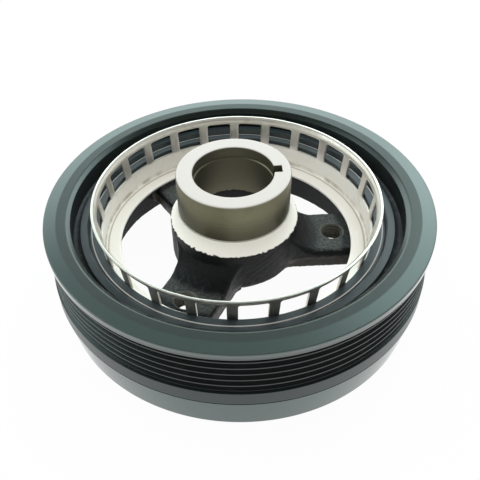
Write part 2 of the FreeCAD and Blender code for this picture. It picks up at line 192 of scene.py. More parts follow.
class InterrupterSizes(PropertyGroup):
    """Sizes of the pressed steel ring with the windows and of its rivets."""
    sheet: length("Sheet", "Thickness of the pressing", 1.1)
    base_radius: length("Base radius", "Inner edge of the base", 53.4)
    foot_radius: length("Foot radius", "Outside of the wall at its foot", 61.7)
    top_radius: length("Top radius", "Outside of the wall at the lip", 62.9)
    bend: length("Bend", "Outer radius of the bend", 2.4)
    taper_height: length("Taper height", "Where the wall starts to widen", 39.4)
    lip_foot: length("Lip foot", "Where the lip starts", 48.6)
    lip_height: length("Lip height", "Top of the lip", 51.4)
    lip_radius: length("Lip radius", "Outside of the lip", 64.2)
    window_count: amount("Windows", "Number of windows", 24)
    window_width: length("Window width", "Width of a window", 12.0)
    window_foot: length("Window foot", "Lower edge of the windows", 37.8)
    window_top: length("Window top", "Upper edge of the windows", 48.1)
    window_corner: length("Window corner", "Rounding of the upper corners", 1.0)
    window_turn: rotation("Window turn", "First window past the keyway", 3.9)
    punched_edge: length("Punched edge", "Bevel of the punched edges", 0.14)
    rivet_circle: length("Rivet circle", "Radius of the rivets' circle", 57.6)
    rivet_length: length("Rivet length", "Length of an oval rivet head", 11.4)
    rivet_width: length("Rivet width", "Width of an oval rivet head", 2.6)
    rivet_turn: rotation("Rivet turn", "First rivet past the keyway", -7.6)


class Finishes(PropertyGroup):
    """Colours of the surfaces."""
    ring_face: tint("Ring face", "Coated back face of the ring", "#171C18")
    # painted sheen: the back face's outer band is painted paler, as where it catches the lamps; the
    # same colour also tints the real scuffs
    ring_band_sheen_and_scuff: tint("Ring band", "Lighter outer band of that face", "#3A4643")
    ring_side: tint("Ring side", "Coated flange", "#0E1618")
    # painted reflection: the taper is painted paler, as where it mirrors the bright floor
    ring_skirt_reflection: tint("Ring skirt", "Lighter taper at the front edge", "#24403D")
    # painted shade: the grooves are painted near black, as where shade falls in them
    ring_groove_shade: tint("Ring groove", "Belt grooves", "#0A0C0D")
    rubber: tint("Rubber", "Bonded rubber", "#3A3F42")
    drum: tint("Drum", "Dipped coat of the drum", "#2B3336")
    casting: tint("Casting", "Rough iron under black paint", "#0B0D0F")
    pad: tint("Pad", "Dusty flat of the arms", "#3C403D")
    # painted shadow: this brownish grey on the arms' lower flanks stands in for the arms' shadow on the
    # floor below them
    bare: tint("Bare casting", "Flanks that the paint missed", "#4C4741")
    turned: tint("Turned iron", "Machined side of the nose and bore", "#8F8C77")
    # painted reflection: the up-facing end of the nose is painted near white for the sky mirrored in
    # it; the same colour paints a highlight on the drum's ledge edge
    faced_sheen: tint("Faced iron", "Machined end of the nose", "#C8C2BC")
    # painted reflection: the up-facing collar is painted near white for the sky mirrored in it
    collar: tint("Collar", "Chalky machined collar under the nose", "#F8F4EA")
    plated: tint("Plated sheet", "Plated steel of the interrupter ring", "#FAF5EC")
    thread: tint("Thread", "Oiled steel in the tapped holes", "#7C7B71")
    bars: tint("Bars", "Bare steel of the bars between the windows", "#9C9A8E")
    # also paints the line along the bend's crease, which is painted shade; the smear in the fold and
    # the drips are real stains
    stain_and_shade: tint("Stain", "Oil stain in the fold of the pressing", "#7A6A3C")


class StageSettings(PropertyGroup):
    """Camera, lamps and floor."""
    camera_place: FloatVectorProperty(
        name="Camera place", description="Where the camera stands",
        default=(-10.40 * MM, -220.60 * MM, 230.75 * MM), subtype="XYZ", unit="LENGTH")
    camera_turn: FloatVectorProperty(
        name="Camera turn", description="How the camera is turned",
        default=[math.radians(angle) for angle in (47.523, 4.431, 0.956)],
        subtype="EULER", unit="ROTATION")
    lens: FloatProperty(name="Lens", description="Focal length in millimetres",
                        default=47.54, min=1.0)
    shift: FloatVectorProperty(name="Shift", description="Shift of the picture",
                               default=(0.1443, -0.0127), size=2)
    sky: FloatProperty(name="Sky", description="Strength of the even light", default=0.95)
    ceiling: FloatProperty(name="Ceiling", description="Sky seen in metal from above",
                           default=0.04)
    backdrop: FloatProperty(name="Backdrop", description="Share of the floor that glows",
                            default=0.96, min=0.0, max=1.0)
    lamp_tint: FloatVectorProperty(name="Lamp tint", description="Cool light of the lamps",
                                   default=(0.82, 0.99, 1.0), subtype="COLOR")


def rounded(corners, steps=4, support=0.12 * MM):
    """Closed outline through corners (radius, height, rounding).

    Each rounded corner becomes the arc that touches both of its sides, with one
    more point just outside each end of the arc to keep the sides flat.
    """
    spots = np.array([corner[:2] for corner in corners], float)
    outline = []
    for number, (_, _, rounding) in enumerate(corners):
        here = spots[number]
        before = spots[number - 1] - here
        after = spots[(number + 1) % len(corners)] - here
        before /= np.linalg.norm(before)
        after /= np.linalg.norm(after)
        half = math.acos(np.clip(before @ after, -1, 1)) / 2
        if rounding == 0:
            outline.append(here)
            continue
        run = rounding / math.tan(half)
        across = before + after
        centre = here + across / np.linalg.norm(across) * rounding / math.sin(half)
        first, last = here + before * run - centre, here + after * run - centre
        sweep = math.pi - 2 * half
        share = np.linspace(0, 1, steps + 1)[:, None]
        arc = centre + (np.sin((1 - share) * sweep) * first
                        + np.sin(share * sweep) * last) / math.sin(sweep)
        outline.append(here + before * (run + support))
        outline.extend(arc)
        outline.append(here + after * (run + support))
    return np.array(outline)


def arc_between(start, end, radius, steps):
    """Points inside the arc of a radius from start to end, whose centre lies to the right."""
    start, end = np.array(start, float), np.array(end, float)
    chord = end - start
    span = np.linalg.norm(chord)
    left = np.array([-chord[1], chord[0]]) / span
    centre = (start + end) / 2 - left * math.sqrt(radius ** 2 - span ** 2 / 4)
    first, last = start - centre, end - centre
    sweep = 2 * math.asin(span / 2 / radius)
    share = np.linspace(0, 1, steps + 1)[1:-1, None]
    return centre + (np.sin((1 - share) * sweep) * first
                     + np.sin(share * sweep) * last) / math.sin(sweep)


def grid_faces(rows, columns, wrap_rows=False, wrap_columns=False):
    """Quads between neighbours of a grid, joined past its last row or column where it wraps."""
    numbers = np.arange(rows * columns).reshape(rows, columns)
    if wrap_rows:
        numbers = np.vstack([numbers, numbers[:1]])
    if wrap_columns:
        numbers = np.hstack([numbers, numbers[:, :1]])
    corners = (numbers[:-1, :-1], numbers[:-1, 1:], numbers[1:, 1:], numbers[1:, :-1])
    return np.stack(corners, axis=-1).reshape(-1, 4)


def cast_skin(points, grain, depth, seed):
    """Height of a sand-cast skin: many sine waves of random direction, length and start, added."""
    draw = np.random.default_rng(seed)
    heading = draw.normal(size=(3, WAVES))
    heading /= np.linalg.norm(heading, axis=0)
    wave = grain * draw.uniform(0.7, 3.0, WAVES)
    phase = draw.uniform(0, 2 * np.pi, WAVES)
    waves = np.sin(2 * np.pi * points @ (heading / wave) + phase)
    return depth * waves.sum(axis=1) / math.sqrt(WAVES)


def from_shaft(points):
    """Distance of points from the shaft."""
    return np.hypot(points[:, 0], points[:, 1])


def turned_round(points, turn):
    """Points turned about the shaft: (x, y) goes to (x cos t - y sin t, x sin t + y cos t)."""
    cos, sin = math.cos(turn), math.sin(turn)
    return points @ np.array([[cos, sin, 0], [-sin, cos, 0], [0, 0, 1]])


def new_mesh(name, points, faces, weld=False, crease=32):
    """Smooth mesh of points and faces, with folds past the crease angle in degrees kept sharp."""
    mesh = bpy.data.meshes.new(name)
    mesh.from_pydata(points.reshape(-1, 3), [], faces)
    if weld:
        draft = bmesh.new()
        draft.from_mesh(mesh)
        bmesh.ops.remove_doubles(draft, verts=draft.verts, dist=0.002 * MM)
        bmesh.ops.recalc_face_normals(draft, faces=draft.faces)
        draft.to_mesh(mesh)
        draft.free()
    mesh.validate()
    mesh.shade_smooth()
    mesh.set_sharp_from_angle(angle=math.radians(crease))
    return mesh


def turned_mesh(name, outline, columns):
    """Outline turned about the shaft: its point (r, z) at angle t is (r cos t, r sin t, z)."""
    turn = np.linspace(0, 2 * np.pi, columns, endpoint=False)
    radius, height = outline[:, 0, None], outline[:, 1, None]
    points = np.stack([radius * np.cos(turn), radius * np.sin(turn), height + 0 * turn], axis=-1)
    return new_mesh(name, points, grid_faces(len(outline), columns, True, True))


def mesh_points(mesh, kind="co"):
    """Array of a mesh's points, or of their normals where the kind says so."""
    values = np.zeros(len(mesh.vertices) * 3)
    mesh.vertices.foreach_get(kind, values)
    return values.reshape(-1, 3)


def roughen(mesh, grain, depth, seed, where):
    """Moves points out along their normals by the cast skin, as far as where(points) lets them."""
    points, normals = mesh_points(mesh), mesh_points(mesh, "normal")
    height = cast_skin(points, grain, depth, seed) * where(points)
    mesh.vertices.foreach_set("co", (points + normals * height[:, None]).ravel())
    mesh.update()


def new_piece(name, mesh, material, slot, *nodes):
    """Object of a mesh that rides on the root body and stands for CAD nodes."""
    piece = bpy.data.objects.new(name, mesh)
    bpy.context.scene.collection.objects.link(piece)
    mesh.materials.append(material)
    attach(piece, "root")
    if nodes:
        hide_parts(*nodes)
    return piece


def node(tree, kind, feeds=None, **settings):
    """Adds a shader node, sets it, and feeds its sockets from values or other sockets."""
    made = tree.nodes.new("ShaderNode" + kind)
    for key, value in settings.items():
        setattr(made, key, value)
    for socket, source in (feeds or {}).items():
        if isinstance(source, bpy.types.NodeSocket):
            tree.links.new(source, made.inputs[socket])
        else:
            made.inputs[socket].default_value = source
    return made


def empty_tree(owner):
    """Cleared node tree of a material or a world."""
    owner.use_nodes = True
    owner.node_tree.nodes.clear()
    return owner.node_tree


def shared(maker):
    """Material named for its maker, made the first time that a piece asks for it.

    The maker lays out the patterns and gives back what feeds the Principled shader.
    """
    material = bpy.data.materials.get(maker.__name__)
    if material is None:
        material = bpy.data.materials.new(maker.__name__)
        tree = empty_tree(material)
        shader = node(tree, "BsdfPrincipled", maker(tree, bpy.context.scene))
        node(tree, "OutputMaterial", {"Surface": shader.outputs[0]})
    return material


def places(tree):
    """Object coordinates, distance from the shaft and height, as sockets."""
    coords = node(tree, "TexCoord").outputs["Object"]
    split = node(tree, "SeparateXYZ", {0: coords})
    flat = node(tree, "CombineXYZ", {0: split.outputs[0], 1: split.outputs[1]})
    radius = node(tree, "VectorMath", {0: flat.outputs[0]}, operation="LENGTH")
    return coords, radius.outputs["Value"], split.outputs[2]


def past(tree, value, start, end):
    """Share that grows smoothly from 0 at start to 1 at end."""
    return node(tree, "MapRange", {"Value": value, "From Min": start, "From Max": end},
                interpolation_type="SMOOTHSTEP").outputs[0]


def border(tree, value, place, start, end):
    """Share that grows smoothly from 0 to 1 between two distances in millimetres past a place."""
    return past(tree, value, place + start * MM, place + end * MM)


def both(tree, share, *others, operation="MULTIPLY"):
    """Share where all of the given shares hold: their product."""
    for other in others:
        share = node(tree, "Math", {0: share, 1: other}, operation=operation).outputs[0]
    return share


def either(tree, *shares):
    """Share where any of the given shares holds: the largest of them."""
    return both(tree, *shares, operation="MAXIMUM")


def shade(colour, factor):
    """Colour made darker or paler by a factor."""
    return [*(share * factor for share in colour[:3]), 1.0]


def layered(tree, colour, layers):
    """Colour with each (share, strength, colour) of the layers laid over it in turn."""
    for share, strength, over in layers:
        colour = node(tree, "Mix", {0: both(tree, share, strength), 6: colour, 7: over},
                      data_type="RGBA").outputs[2]
    return colour


def speckle(tree, coords, size, detail, low, high):
    """Share of noise with grains of a real size, cut between two levels."""
    noise = node(tree, "TexNoise", {"Vector": coords, "Scale": 1 / size, "Detail": detail})
    return past(tree, noise.outputs[0], low, high)


def grainy(tree, coords, size, detail, depth, **feeds):
    """Normal bent by noise with grains of a real size and depth."""
    noise = node(tree, "TexNoise", {"Vector": coords, "Scale": 1 / size, "Detail": detail})
    return node(tree, "Bump", {"Height": noise.outputs[0], "Distance": depth, **feeds}).outputs[0]


def turning_marks(tree, radius, height, spacing):
    """Noise that changes with radius and height alone, as tool marks do on turned metal.

    Real marks are about 0.1 mm apart, so the spacing is a few times that for them to show.
    """
    across = node(tree, "CombineXYZ", {0: radius, 1: height})
    return node(tree, "TexNoise", {"Vector": across.outputs[0], "Scale": 1 / spacing,
                                   "Detail": 2.0}).outputs[0]


def coated_iron(tree, scene):
    """Turned cast iron dipped in a thin black-grey coat.

    It is satin. The belt grooves are painted darker as painted shade, the back face's outer band is
    painted paler as a painted sheen, and the taper is painted paler as a painted reflection of the
    floor. The taper and the rim are sleek and catch the lamps.
    """
    colours, ring = scene.balancer_finish, scene.balancer_ring
    coords, radius, height = places(tree)
    face = border(tree, height, ring.inner_height, -0.9, -0.4)
    low = border(tree, height, ring.rim_underside, 0.2, -0.2)
    high = border(tree, height, ring.rim_underside, -0.2, 0.2)
    # painted shade: the whole belt zone is painted darker, and the grooves near black
    belt = both(tree, low, border(tree, height, ring.flange_height, 0.1, 0.5))
    groove = both(tree, belt, border(tree, radius, ring.crest_radius, -0.08, -0.9))
    # painted reflection: the taper at the front edge is painted paler, for the floor mirrored in it
    skirt = border(tree, height, ring.skirt_height, 0.4, -0.2)
    # painted sheen: the outer band of the back face is painted paler than the rest of the face
    band = border(tree, radius, ring.crown_radius, -0.5, 0.5)
    rim = both(tree, high, border(tree, radius, ring.outer_radius, -0.1, 0.1))
    scuff = speckle(tree, coords, size=6 * MM, detail=6.0, low=0.5, high=0.75)
    marks = turning_marks(tree, radius, height, spacing=0.35 * MM)
    bump = node(tree, "Bump", {"Height": marks, "Distance": 0.02 * MM, "Strength": 0.4})
    satin = node(tree, "Mix", {"Factor": either(tree, skirt, rim), "A": 0.3, "B": 0.1})
    rough = node(tree, "Mix", {"Factor": groove, "A": satin.outputs[0], "B": 0.55})
    return {
        "Base Color": layered(tree, colours.ring_side, [
            (belt, 0.75, shade(colours.ring_side, 0.45)),
            (skirt, 1.0, colours.ring_skirt_reflection),
            (face, 1.0, colours.ring_face),
            (both(tree, face, band), 1.0, colours.ring_band_sheen_and_scuff),
            (groove, 1.0, colours.ring_groove_shade),
            (scuff, 0.1, colours.ring_band_sheen_and_scuff),
        ]),
        "Normal": bump.outputs[0],
        "Roughness": rough.outputs[0],
        "IOR": 1.6,
        "Coat Weight": rim,
        "Coat Roughness": 0.06,
        "Specular Tint": (0.86, 1.0, 0.96, 1.0),
    }


def dipped_drum(tree, scene):
    """Drum of the hub: smooth blue-black coat on its turned back, rough casting inside."""
    colours, hub = scene.balancer_finish, scene.balancer_hub
    coords, radius, height = places(tree)
    cast = both(tree, border(tree, radius, hub.seat_radius, -0.9, -1.5),
                border(tree, height, hub.web_back, 1.1, 0.1))
    # painted highlight: a thin near-white ring on the ledge's turned edge, where the edge catches the
    # light
    edge = both(tree, border(tree, radius, hub.ledge_radius, -0.55, -0.35),
                border(tree, radius, hub.ledge_radius, 0.15, -0.05))
    scuff = speckle(tree, coords, size=4 * MM, detail=5.0, low=0.45, high=0.75)
    rough = node(tree, "MapRange", {"Value": cast, "To Min": 0.36, "To Max": 0.8})
    return {
        "Base Color": layered(tree, colours.drum, [
            (scuff, 0.25, colours.ring_band_sheen_and_scuff),
            (edge, 0.8, colours.faced_sheen),
            (cast, 1.0, colours.casting),
        ]),
        "Normal": grainy(tree, coords, size=0.7 * MM, detail=5.0, depth=0.2 * MM, Strength=cast),
        "Roughness": rough.outputs[0],
    }


def bonded_rubber(tree, scene):
    """Moulded nitrile rubber: dull black, with a dusty bloom."""
    colours = scene.balancer_finish
    coords, _, _ = places(tree)
    bloom = speckle(tree, coords, size=2.5 * MM, detail=4.0, low=0.45, high=0.8)
    return {
        "Base Color": layered(tree, colours.rubber, [(bloom, 1.0, shade(colours.rubber, 2.2))]),
        "Normal": grainy(tree, coords, size=0.6 * MM, detail=3.0, depth=0.08 * MM),
        "Roughness": 0.62,
    }


def cast_grain(tree, coords):
    """Normal of a sand-cast skin under paint: grains of 0.9 and 0.35 mm, which sparkle."""
    fine = grainy(tree, coords, size=0.35 * MM, detail=1.0, depth=0.12 * MM)
    return grainy(tree, coords, size=0.9 * MM, detail=4.0, depth=0.2 * MM, Normal=fine)


def black_casting(tree, scene):
    """Sand-cast iron under glossy black paint: rough grain, dusty flats, threads left bare."""
    colours, hub = scene.balancer_finish, scene.balancer_hub
    coords, radius, height = places(tree)
    bare = node(tree, "Attribute", attribute_name="bare").outputs["Fac"]
    shoulder = hub.web_back - hub.arm_edge
    pad = both(tree, border(tree, radius, hub.arm_root, -2.0, 2.5),
               border(tree, radius, hub.drum_bore, -6.5, -9.5),
               border(tree, height, hub.web_back, -0.8, -0.3))
    # painted shadow: the lower flanks are painted brownish grey, standing in for the arms' shadow on
    # the floor
    missed = border(tree, height, shoulder, -0.3, -1.3)
    dust = speckle(tree, coords, size=1.1 * MM, detail=8.0, low=0.42, high=0.62)
    fleck = speckle(tree, coords, size=0.5 * MM, detail=2.0, low=0.6, high=0.7)
    return {
        "Base Color": layered(tree, colours.casting, [
            (pad, 0.7, colours.pad),
            (both(tree, pad, dust), 0.5, shade(colours.pad, 2.4)),
            (missed, 0.8, colours.bare),
            (fleck, 0.2, colours.pad),
            (bare, 1.0, colours.thread),
        ]),
        "Metallic": bare,
        "Normal": cast_grain(tree, coords),
        "Roughness": 0.4,
        "Specular IOR Level": 0.25,
    }


def turned_iron(tree, scene):
    """Hub iron turned bright at nose, collar and bore: fine rings, above black cast skin.

    The collar and the end are cut by facing, and are painted near white as a painted reflection of the
    sky in these up-facing faces. The nose darkens towards its foot and the bore is darker, both painted
    shade. The cast skin's edge is ragged, because the collar's cut stops on rough metal.
    """
    colours, hub = scene.balancer_finish, scene.balancer_hub
    coords, radius, height = places(tree)
    ragged = node(tree, "TexNoise", {"Vector": coords, "Scale": 1 / (1.6 * MM), "Detail": 3.0})
    edge = node(tree, "Math", {0: ragged.outputs[0], 1: 1.8 * MM, 2: height},
                operation="MULTIPLY_ADD")
    barrel = border(tree, edge.outputs[0], hub.collar_foot, 1.3, 1.0)
    # painted reflection: collar and end are painted near white, as the sky mirrored in these up-facing
    # faces
    collar = both(tree, border(tree, height, hub.nose_foot, -0.2, -0.8),
                  border(tree, radius, hub.nose_radius, -1.05, -0.65))
    end = border(tree, height, hub.nose_height, -0.4, -0.15)
    # painted shade: the bore is painted darker than the nose
    bore = both(tree, border(tree, radius, hub.key_reach, 0.8, 0.4),
                border(tree, height, hub.nose_height, -0.1, -0.4))
    # painted shade: the nose's side is painted darker towards its foot
    foot = past(tree, height, hub.nose_height - 2.3 * MM, hub.nose_foot - 0.2 * MM)
    fleck = speckle(tree, coords, size=0.6 * MM, detail=3.0, low=0.58, high=0.68)
    smear = speckle(tree, coords, size=5 * MM, detail=4.0, low=0.45, high=0.75)
    marks = turning_marks(tree, radius, height, spacing=0.5 * MM)
    dark = shade(colours.turned, 0.7)
    sky_sheen_faces = either(tree, collar, end)
    metal = node(tree, "Mix", {"Factor": sky_sheen_faces, "A": 1.0, "B": 0.05})
    bright = node(tree, "Mix", {"Factor": barrel, "A": metal.outputs[0], "B": 0.0})
    rough = node(tree, "MapRange", {"Value": either(tree, sky_sheen_faces, bore), "To Min": 0.32,
                                    "To Max": 0.5})
    rings = node(tree, "Bump", {"Height": marks, "Distance": 0.03 * MM, "Strength": 0.6})
    skin = node(tree, "Mix", {0: barrel, 4: rings.outputs[0], 5: cast_grain(tree, coords)},
                data_type="VECTOR")
    return {
        "Base Color": layered(tree, colours.turned, [
            (past(tree, marks, 0.4, 0.65), 0.35, dark),
            (foot, 0.6, shade(colours.turned, 0.3)),
            (smear, 0.3, dark),
            (bore, 0.7, shade(colours.turned, 0.75)),
            (end, 1.0, colours.faced_sheen),
            (collar, 1.0, colours.collar),
            (barrel, 1.0, colours.casting),
            (both(tree, barrel, fleck), 0.25, colours.pad),
        ]),
        "Metallic": bright.outputs[0],
        "Roughness": rough.outputs[0],
        "Normal": skin.outputs[1],
        "Specular IOR Level": 0.3,
    }


def plated_sheet(tree, scene):
    """Drawn sheet steel with dull zinc plating: pale, soft gloss, stained in the fold.

    Outside the wall it mirrors like bare metal. Inside, the plating has gone dull and chalk-white, with
    a line of painted shade along the bend's crease.
    """
    colours, ring = scene.balancer_finish, scene.balancer_interrupter
    coords, radius, height = places(tree)
    base, crease_radius = scene.balancer_hub.web_back, ring.foot_radius - ring.bend
    fold = both(tree, border(tree, height, base, 4.2, 2.2),
                border(tree, radius, crease_radius, 0.3, 1.3))
    # painted shade: a thin dark line where the bend leaves the base
    crease = both(tree, border(tree, radius, crease_radius, -0.5, -0.2),
                  border(tree, radius, crease_radius, 0.6, 0.2),
                  border(tree, height, base, 2.0, 1.6))
    wall = border(tree, height, base, 2.6, 5.6)
    bars = border(tree, height, ring.window_foot, -1.3, 0.7)
    # the normal times the place gives the wall's radius on its outside, and minus that inside
    normal = node(tree, "NewGeometry").outputs["Normal"]
    outward = node(tree, "VectorMath", {0: normal, 1: coords}, operation="DOT_PRODUCT")
    outside = past(tree, outward.outputs["Value"], 30 * MM, 50 * MM)
    smear = speckle(tree, coords, size=8 * MM, detail=5.0, low=0.35, high=0.65)
    drip = speckle(tree, coords, size=7 * MM, detail=3.0, low=0.55, high=0.8)
    inner = node(tree, "Mix", {"Factor": bars, "A": 0.05, "B": 0.9})
    metal = node(tree, "Mix", {"Factor": outside, "A": inner.outputs[0], "B": 1.0})
    rough = node(tree, "MapRange", {"Value": smear, "To Min": 0.3, "To Max": 0.48})
    return {
        "Base Color": layered(tree, colours.plated, [
            (bars, 0.4, colours.bars),
            (crease, 0.55, colours.stain_and_shade),
            (both(tree, fold, smear), 0.6, colours.stain_and_shade),
            (both(tree, wall, drip), 0.2, colours.stain_and_shade),
        ]),
        "Metallic": metal.outputs[0],
        "Roughness": rough.outputs[0],
        "Normal": grainy(tree, coords, size=0.8 * MM, detail=3.0, depth=0.01 * MM),
    }


def groove_corners(size, number):
    """Four corners of one belt groove, listed upwards."""
    middle = size.first_groove - number * size.groove_pitch
    root = size.crest_radius - size.groove_depth
    return [
        (size.crest_radius, middle - size.groove_mouth / 2, 0.18 * MM),
        (root, middle - size.groove_root / 2, 0.3 * MM),
        (root, middle + size.groove_root / 2, 0.3 * MM),
        (size.crest_radius, middle + size.groove_mouth / 2, 0.18 * MM),
    ]


class BALANCER_OT_inertia_ring(Operator):
    """Ring with the belt grooves: its rounded outline turned about the shaft"""
    bl_idname = "balancer.inertia_ring"
    bl_label = "Inertia ring"

    def execute(self, context):
        size = context.scene.balancer_ring
        notch = 0.35 * MM
        skirt = [
            (size.bore_radius, 0, 0.4 * MM),
            (size.skirt_radius, 0, 0.5 * MM),
            (size.outer_radius, size.skirt_height, 0),
            (size.outer_radius - notch, size.skirt_height + 0.25 * MM, 0),
            (size.outer_radius, size.skirt_height + 0.5 * MM, 0),
            (size.outer_radius, size.flange_height, 0.15 * MM),
            (size.crest_radius - 0.9 * MM, size.flange_height + 0.4 * MM, 0.15 * MM),
        ]
        grooves = [corner for number in reversed(range(size.groove_count))
                   for corner in groove_corners(size, number)]
        # the first groove opens into the rim's bevel
        grooves[-1] = (size.crest_radius - 0.3 * MM, size.rim_underside, 0)
        back = [
            (size.rim_radius, size.rim_underside + 0.3 * MM, 0.2 * MM),
            (size.rim_radius, size.rim_height, 0.5 * MM),
            (size.crown_radius, size.crown_height, 0.8 * MM),
            (size.edge_radius, size.edge_height, 1.6 * MM),
            (size.bore_radius, size.inner_height, 0.5 * MM),
        ]
        mesh = turned_mesh("inertia_ring_mesh", rounded(skirt + grooves + back, steps=3),
                           RING_COLUMNS)
        new_piece("ribbed_ring", mesh, shared(coated_iron), "ring_coat", "inertia_ring")
        return {"FINISHED"}


class BALANCER_OT_rubber_ring(Operator):
    """Rubber between drum and ring: an outline with hollow ends turned about the shaft"""
    bl_idname = "balancer.rubber_ring"
    bl_label = "Rubber ring"

    def execute(self, context):
        size = context.scene.balancer_ring
        inner = context.scene.balancer_hub.drum_radius
        middle = (inner + size.bore_radius) / 2
        share = np.linspace(0, 1, 13)
        hollow = 0.7 * MM * np.sin(np.pi * share)
        front = np.stack([inner + (size.bore_radius - inner) * share,
                          size.rubber_front + hollow], axis=1)
        back = np.stack([size.bore_radius + (inner - size.bore_radius) * share,
                         size.rubber_back - hollow], axis=1)
        mesh = turned_mesh("rubber_mesh", np.vstack([front, back]), DRUM_COLUMNS)
        roughen(mesh, grain=2.5 * MM, depth=0.1 * MM, seed=5,
                where=lambda points: abs(from_shaft(points) - middle) < 1.4 * MM)
        new_piece("rubber_sleeve", mesh, shared(bonded_rubber), "rubber", "rubber_ring")
        return {"FINISHED"}


def slot_path(reach, swell, steps):
    """Closed slot outline: two straight sides of a half length, joined by half circles."""
    turn = np.linspace(-np.pi / 2, np.pi / 2, steps)
    upper = np.stack([-swell * np.sin(turn), reach + swell * np.cos(turn)], axis=1)
    return np.vstack([upper, -upper])


def window_columns(size):
    """Columns round the pressing: each one's angle, place inside its window and way to the middle.

    They bunch up at the windows' corners. The place is the distance to the nearer side of the
    window, and negative on the bars.
    """
    pitch = 2 * np.pi / size.window_count
    corner = size.window_corner / size.top_radius
    half = math.asin(size.window_width / 2 / size.top_radius)
    fine = np.linspace(0, corner, 5)
    inside = np.linspace(-half + corner, half - corner, 7)[1:-1]
    bar = np.linspace(half, pitch - half, 5)[1:-1]
    column = np.concatenate([-half + fine, inside, half - fine[::-1], bar])
    turn = size.window_turn + pitch * np.arange(size.window_count)[:, None] + column
    from_side = np.minimum(column + half, half - column) * size.top_radius
    return (turn.ravel(), np.tile(from_side, size.window_count),
            np.tile(-np.sign(column), size.window_count))


def sheet_outline(size, base):
    """Underside of the pressing outwards: base, quarter-circle bend, tapered wall and flared lip."""
    crease = size.foot_radius - size.bend
    flat = [(radius, base) for radius in np.linspace(size.base_radius, crease, 6)[:-1]]
    sweep = np.linspace(0, np.pi / 2, 8)
    bend = np.stack([crease + size.bend * np.sin(sweep),
                     base + size.bend * (1 - np.cos(sweep))], axis=1)
    levels = (base + size.bend, size.window_foot, size.window_top - size.window_corner, size.window_top)
    rows = np.concatenate([np.linspace(low, high, 5)[1:] for low, high in zip(levels, levels[1:])])
    wall = np.stack([np.interp(rows, [size.taper_height, size.lip_foot],
                               [size.foot_radius, size.top_radius]), rows], axis=1)
    flare = np.linspace(0, 1, 6)
    flare_share = 0.85
    lip = np.stack([
        size.top_radius + (size.lip_radius - size.top_radius) * np.sin(flare * np.pi / 2) ** 2,
        size.lip_foot + (size.lip_height - size.lip_foot) * flare * flare_share], axis=1)
    return np.vstack([flat, bend, wall, lip, [(size.lip_radius, size.lip_height)]])


class BALANCER_OT_interrupter_ring(Operator):
    """Pressing with windows: the sheet's outline carried round, less the window cells"""
    bl_idname = "balancer.interrupter_ring"
    bl_label = "Interrupter ring"

    def execute(self, context):
        size = context.scene.balancer_interrupter
        turn, side, to_middle = window_columns(size)
        outline = sheet_outline(size, context.scene.balancer_hub.web_back)
        radius, height = outline[:, :1], outline[:, 1:]
        below = size.window_top - height
        in_window = (side > -SLACK) & (height > size.window_foot - SLACK) & (below > -SLACK)
        # the cells' edge goes round the upper corners as a quarter circle
        rim = size.window_corner
        upright = in_window & (abs(side) < SLACK) & (below < rim)
        level = in_window & (abs(below) < SLACK) & (side < rim)
        swing = np.where(upright, (rim - below) / rim * np.pi / 4,
                         np.pi / 2 - (rim - side) / rim * np.pi / 4)
        moved = upright | level
        inward = np.where(moved, rim * (1 - np.cos(swing)) - side, 0)
        drop = np.where(moved, rim * (1 - np.sin(swing)) - below, 0)
        around = turn + to_middle * inward / size.top_radius
        points = np.stack([radius * np.cos(around), radius * np.sin(around), height - drop], axis=-1)
        faces = grid_faces(*around.shape, False, True)
        kept = ~in_window.ravel()[faces].all(axis=1)
        mesh = new_mesh("pressing_mesh", points, faces[kept])
        piece = new_piece("windowed_ring", mesh, shared(plated_sheet), "sheet_steel",
                          "interrupter_ring")
        gauge = piece.modifiers.new("sheet", "SOLIDIFY")
        gauge.thickness = size.sheet
        gauge.offset = -1.0
        gauge.use_even_offset = True
        edge = piece.modifiers.new("punched edges", "BEVEL")
        edge.width = size.punched_edge
        edge.segments = 2
        edge.limit_method = "ANGLE"
        edge.angle_limit = math.radians(50)
        return {"FINISHED"}


def on_each_arm(context, points, faces, first_turn=0.0):
    """Points and faces copied once for each arm, turned about the shaft by equal steps."""
    number = context.scene.balancer_hub.arm_count
    turns = first_turn + 2 * np.pi / number * np.arange(number)
    every_face = [[corner + copy * len(points) for corner in face]
                  for copy in range(number) for face in faces]
    return np.vstack([turned_round(points, turn) for turn in turns]), every_face


class BALANCER_OT_rivets(Operator):
    """Oval rivet heads: a shallow dome's outline carried along a slot path, three times"""
    bl_idname = "balancer.rivets"
    bl_label = "Rivets"

    def execute(self, context):
        size = context.scene.balancer_interrupter
        seat = context.scene.balancer_hub.web_back + size.sheet
        reach = (size.rivet_length - size.rivet_width) / 2
        # outline of a head: how far in from the slot's edge, and how far over the pressing
        inset = np.array([0, 0.05, 0.25, 0.4, 0.8, 1.1, 1.3]) * MM
        rise = np.array([-0.3, 0.03, 0.11, 0.12, 0.09, 0.1, 0.1]) * MM
        loops = np.stack([slot_path(reach, size.rivet_width / 2 - step, 14) for step in inset])
        head = np.concatenate([
            loops + [size.rivet_circle, 0],
            np.repeat((seat + rise)[:, None, None], loops.shape[1], axis=1)], axis=-1)
        points, faces = on_each_arm(context, head.reshape(-1, 3),
                                    grid_faces(*loops.shape[:2], False, True).tolist(),
                                    size.rivet_turn)
        mesh = new_mesh("rivet_mesh", points, faces, weld=True)
        new_piece("oval_rivets", mesh, shared(plated_sheet), "rivet_steel", "rivets")
        return {"FINISHED"}


